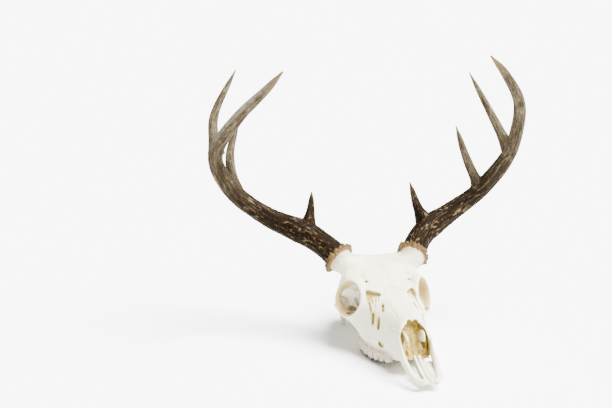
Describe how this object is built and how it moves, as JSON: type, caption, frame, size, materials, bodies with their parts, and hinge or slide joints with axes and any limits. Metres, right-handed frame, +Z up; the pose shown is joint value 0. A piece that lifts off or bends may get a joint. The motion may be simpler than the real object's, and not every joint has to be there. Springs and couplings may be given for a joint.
{
  "type": "deer skull",
  "caption": "Bleached deer skull without its lower jaw, with a pair of brown branching antlers, standing on its cheek teeth.",
  "frame": {"origin": "middle of the bounding box in x and y, at the level the skull stands on", "axes": "+X to the animal's left, +Y from the nose to the back of the head, +Z up from the plane the cheek teeth stand on"},
  "size_m": [0.42, 0.3052, 0.3681],
  "materials": {
    "bone": "matte, bleached, slightly porous",
    "antler": "ridged, dark brown low down, grey-tan and polished at the tips",
    "burr": "knobbly, golden tan"
  },
  "bodies": {
    "root": {"frontal": "bone", "braincase": "bone", "occipital": "bone", "skull_base": "bone", "nasal_left": "bone", "nasal_right": "bone", "maxilla_left": "bone", "maxilla_right": "bone", "premaxilla_left": "bone", "premaxilla_right": "bone", "eye_socket_left": "bone", "eye_socket_right": "bone", "cheekbone_left": "bone", "cheekbone_right": "bone", "ear_bulb_left": "bone", "ear_bulb_right": "bone", "lower_beam_left": "antler", "middle_beam_left": "antler", "upper_beam_left": "antler", "brow_tine_left": "antler", "second_tine_left": "antler", "third_tine_left": "antler", "lower_beam_right": "antler", "middle_beam_right": "antler", "upper_beam_right": "antler", "brow_tine_right": "antler", "second_tine_right": "antler", "third_tine_right": "antler", "burr_left": "burr", "burr_right": "burr"}
  },
  "joints": []
}
